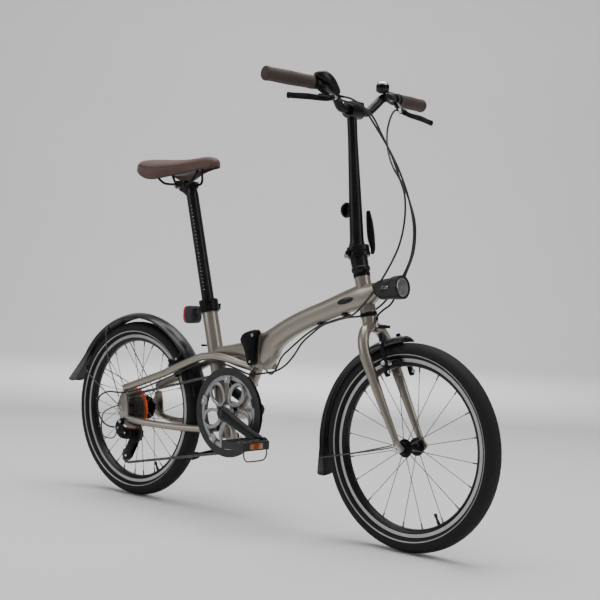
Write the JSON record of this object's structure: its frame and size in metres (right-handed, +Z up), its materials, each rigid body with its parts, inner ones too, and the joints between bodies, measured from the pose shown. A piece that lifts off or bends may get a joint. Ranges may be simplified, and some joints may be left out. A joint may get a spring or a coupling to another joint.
{
  "type": "folding bicycle",
  "caption": "Small-wheel folding bicycle with a mid-frame hinge, folding handlepost, sliding seatpost, mudguards, V-brakes and derailleur gears.",
  "frame": {"origin": "on the floor, under the middle of the whole bicycle", "axes": "+X forward towards the front wheel, +Y to the rider's left, +Z up"},
  "size_m": [1.5299, 0.6158, 1.1485],
  "materials": {
    "frame_paint": "metallic satin champagne",
    "black_alloy": "satin black",
    "black_plastic": "fine grain",
    "tyre_rubber": "matt",
    "polished_steel": "brushed",
    "brown_grip": "matt",
    "brown_saddle": "matt leatherette",
    "orange_plastic": "translucent"
  },
  "bodies": {
    "rear": {"rear_frame": "frame_paint", "right_upper_stay": "frame_paint", "left_upper_stay": "frame_paint", "right_chainstay": "frame_paint", "left_chainstay": "frame_paint", "seat_collar": "black_plastic", "tail_light": "black_plastic", "rear_mudguard": "black_plastic", "rear_axle": "polished_steel", "derailleur_body": "black_plastic", "chain": "polished_steel"},
    "front": {"front_frame": "frame_paint", "headlight": "black_plastic", "shift_cable": "black_plastic", "rear_brake_cable": "black_plastic", "front_brake_cable": "black_plastic"},
    "latch": {"frame_latch": "black_plastic"},
    "fork": {"fork": "frame_paint", "post_base": "black_alloy", "front_mudguard": "black_plastic", "front_axle": "polished_steel"},
    "front_wheel": {"front_tyre": "tyre_rubber", "front_rim": "black_alloy", "front_hub": "black_alloy", "front_spokes": "black_alloy"},
    "right_front_arm": {"right_front_brake_arm": "black_alloy"},
    "left_front_arm": {"left_front_brake_arm": "black_alloy"},
    "post": {"handlepost": "black_alloy", "handlebar": "black_alloy", "right_grip": "brown_grip", "left_grip": "brown_grip", "shifter_pod": "black_plastic", "left_lever_bracket": "black_alloy", "bell_base": "black_plastic"},
    "post_latch_lever": {"post_latch": "black_plastic"},
    "bell": {"bell_cap": "polished_steel"},
    "right_lever": {"right_brake_lever": "black_alloy"},
    "left_lever": {"left_brake_lever": "black_alloy"},
    "trigger": {"shift_trigger": "black_plastic"},
    "rear_wheel": {"rear_tyre": "tyre_rubber", "rear_rim": "black_alloy", "rear_hub": "black_alloy", "rear_spokes": "black_alloy", "spoke_guard": "orange_plastic"},
    "sprockets": {"cassette": "polished_steel"},
    "crankset": {"chainring": "polished_steel", "right_crank": "black_alloy", "left_crank": "black_alloy"},
    "right_foot_pedal": {"right_pedal": "black_plastic"},
    "left_foot_pedal": {"left_pedal": "black_plastic"},
    "cage": {"derailleur_cage": "black_alloy"},
    "upper_jockey": {"upper_jockey_wheel": "black_plastic"},
    "lower_jockey": {"lower_jockey_wheel": "black_plastic"},
    "seat": {"seatpost": "black_alloy", "saddle_rails": "black_alloy", "saddle": "brown_saddle"},
    "seat_clamp_lever": {"seat_lever": "black_alloy"},
    "stand": {"kickstand": "black_plastic"},
    "right_rear_arm": {"right_rear_brake_arm": "black_alloy"},
    "left_rear_arm": {"left_rear_brake_arm": "black_alloy"}
  },
  "joints": [
    {"name": "frame_fold", "type": "hinge", "parent": "rear", "child": "front", "pos_m": [0.0184, 0.042, 0.447], "axis": [0, 0, 1], "range_deg": [0, 140], "deforming": ["shift_cable", "rear_brake_cable"]},
    {"name": "latch_open", "type": "hinge", "parent": "front", "child": "latch", "pos_m": [0.0389, -0.04, 0.455], "axis": [0, 0, 1], "range_deg": [0, 100]},
    {"name": "steering", "type": "hinge", "parent": "front", "child": "fork", "pos_m": [0.3574, 0, 0.609], "axis": [0.2672, 0, -0.9636], "range_deg": [-60, 60], "deforming": ["front_brake_cable"]},
    {"name": "front_wheel_spin", "type": "hinge", "parent": "fork", "child": "front_wheel", "pos_m": [0.5149, 0, 0.25], "axis": [0, 1, 0], "continuous": true},
    {"name": "right_front_arm_turn", "type": "hinge", "parent": "fork", "child": "right_front_arm", "pos_m": [0.47173, -0.048, 0.42645], "axis": [-0.9304, 0, -0.3665], "range_deg": [0, 4]},
    {"name": "left_front_arm_turn", "type": "hinge", "parent": "fork", "child": "left_front_arm", "pos_m": [0.47173, 0.048, 0.42645], "axis": [0.9304, 0, 0.3665], "range_deg": [0, 4]},
    {"name": "post_fold", "type": "hinge", "parent": "fork", "child": "post", "pos_m": [0.3101, -0.01945, 0.7068], "axis": [-0.6814, 0.7071, -0.189], "range_deg": [-170, 0]},
    {"name": "post_latch_open", "type": "hinge", "parent": "post", "child": "post_latch_lever", "pos_m": [0.35478, 0.02581, 0.71504], "axis": [-0.6814, 0.7071, -0.189], "range_deg": [0, 95]},
    {"name": "bell_turn", "type": "hinge", "parent": "post", "child": "bell", "pos_m": [0.3129, 0.093, 1.119], "axis": [0, 0, 1], "range_deg": [0, 40], "stiffness_Nm_per_rad": 0.05},
    {"name": "right_lever_pull", "type": "hinge", "parent": "post", "child": "right_lever", "pos_m": [0.3469, -0.15, 1.0735], "axis": [0, 0, -1], "range_deg": [0, 20], "stiffness_Nm_per_rad": 1},
    {"name": "left_lever_pull", "type": "hinge", "parent": "post", "child": "left_lever", "pos_m": [0.3469, 0.15, 1.0735], "axis": [0, 0, 1], "range_deg": [0, 20], "stiffness_Nm_per_rad": 1},
    {"name": "trigger_push", "type": "hinge", "parent": "post", "child": "trigger", "pos_m": [0.3239, -0.118, 1.088], "axis": [0, 0, 1], "range_deg": [0, 25], "stiffness_Nm_per_rad": 0.1},
    {"name": "rear_wheel_spin", "type": "hinge", "parent": "rear", "child": "rear_wheel", "pos_m": [-0.4641, 0, 0.25], "axis": [0, 1, 0], "continuous": true},
    {"name": "crank_spin", "type": "hinge", "parent": "rear", "child": "crankset", "pos_m": [-0.0526, 0, 0.28], "axis": [0, 1, 0], "continuous": true},
    {"name": "sprocket_spin", "type": "hinge", "parent": "rear", "child": "sprockets", "pos_m": [-0.4641, 0, 0.25], "axis": [0, 1, 0], "continuous": true},
    {"name": "right_pedal_spin", "type": "hinge", "parent": "crankset", "child": "right_foot_pedal", "pos_m": [0.10289, -0.14, 0.21907], "axis": [0, 1, 0], "continuous": true},
    {"name": "left_pedal_spin", "type": "hinge", "parent": "crankset", "child": "left_foot_pedal", "pos_m": [-0.20809, 0.14, 0.34093], "axis": [0, 1, 0], "continuous": true},
    {"name": "cage_swing", "type": "hinge", "parent": "rear", "child": "cage", "pos_m": [-0.4191, -0.0425, 0.184], "axis": [0, 1, 0], "range_deg": [-14, 0], "stiffness_Nm_per_rad": 1.5, "deforming": ["chain"]},
    {"name": "upper_jockey_spin", "type": "hinge", "parent": "cage", "child": "upper_jockey", "pos_m": [-0.4191, -0.0425, 0.184], "axis": [0, 1, 0], "continuous": true},
    {"name": "lower_jockey_spin", "type": "hinge", "parent": "cage", "child": "lower_jockey", "pos_m": [-0.4561, -0.0425, 0.117], "axis": [0, 1, 0], "continuous": true},
    {"name": "seatpost_slide", "type": "slide", "parent": "rear", "child": "seat", "axis": [-0.261, 0, 0.9653], "range_m": [-0.26, 0]},
    {"name": "seat_lever_open", "type": "hinge", "parent": "rear", "child": "seat_clamp_lever", "pos_m": [-0.1881, 0.0345, 0.556], "axis": [0, 0, -1], "range_deg": [0, 120]},
    {"name": "stand_turn", "type": "hinge", "parent": "rear", "child": "stand", "pos_m": [-0.1091, 0.034, 0.205], "axis": [0, -1, 0], "range_deg": [0, 66]},
    {"name": "right_rear_arm_turn", "type": "hinge", "parent": "rear", "child": "right_rear_arm", "pos_m": [-0.32636, -0.034, 0.35956], "axis": [-0.6225, 0, 0.7826], "range_deg": [0, 4]},
    {"name": "left_rear_arm_turn", "type": "hinge", "parent": "rear", "child": "left_rear_arm", "pos_m": [-0.32636, 0.034, 0.35956], "axis": [0.6225, 0, -0.7826], "range_deg": [0, 4]}
  ],
  "couplings": [
    {"joint": "sprocket_spin", "follows": "crank_spin", "ratio": 2.8889},
    {"joint": "upper_jockey_spin", "follows": "crank_spin", "ratio": -5.2},
    {"joint": "lower_jockey_spin", "follows": "crank_spin", "ratio": 5.2},
    {"joint": "right_front_arm_turn", "follows": "left_lever_pull", "ratio": 0.2},
    {"joint": "left_front_arm_turn", "follows": "left_lever_pull", "ratio": 0.2},
    {"joint": "right_rear_arm_turn", "follows": "right_lever_pull", "ratio": 0.2},
    {"joint": "left_rear_arm_turn", "follows": "right_lever_pull", "ratio": 0.2}
  ]
}
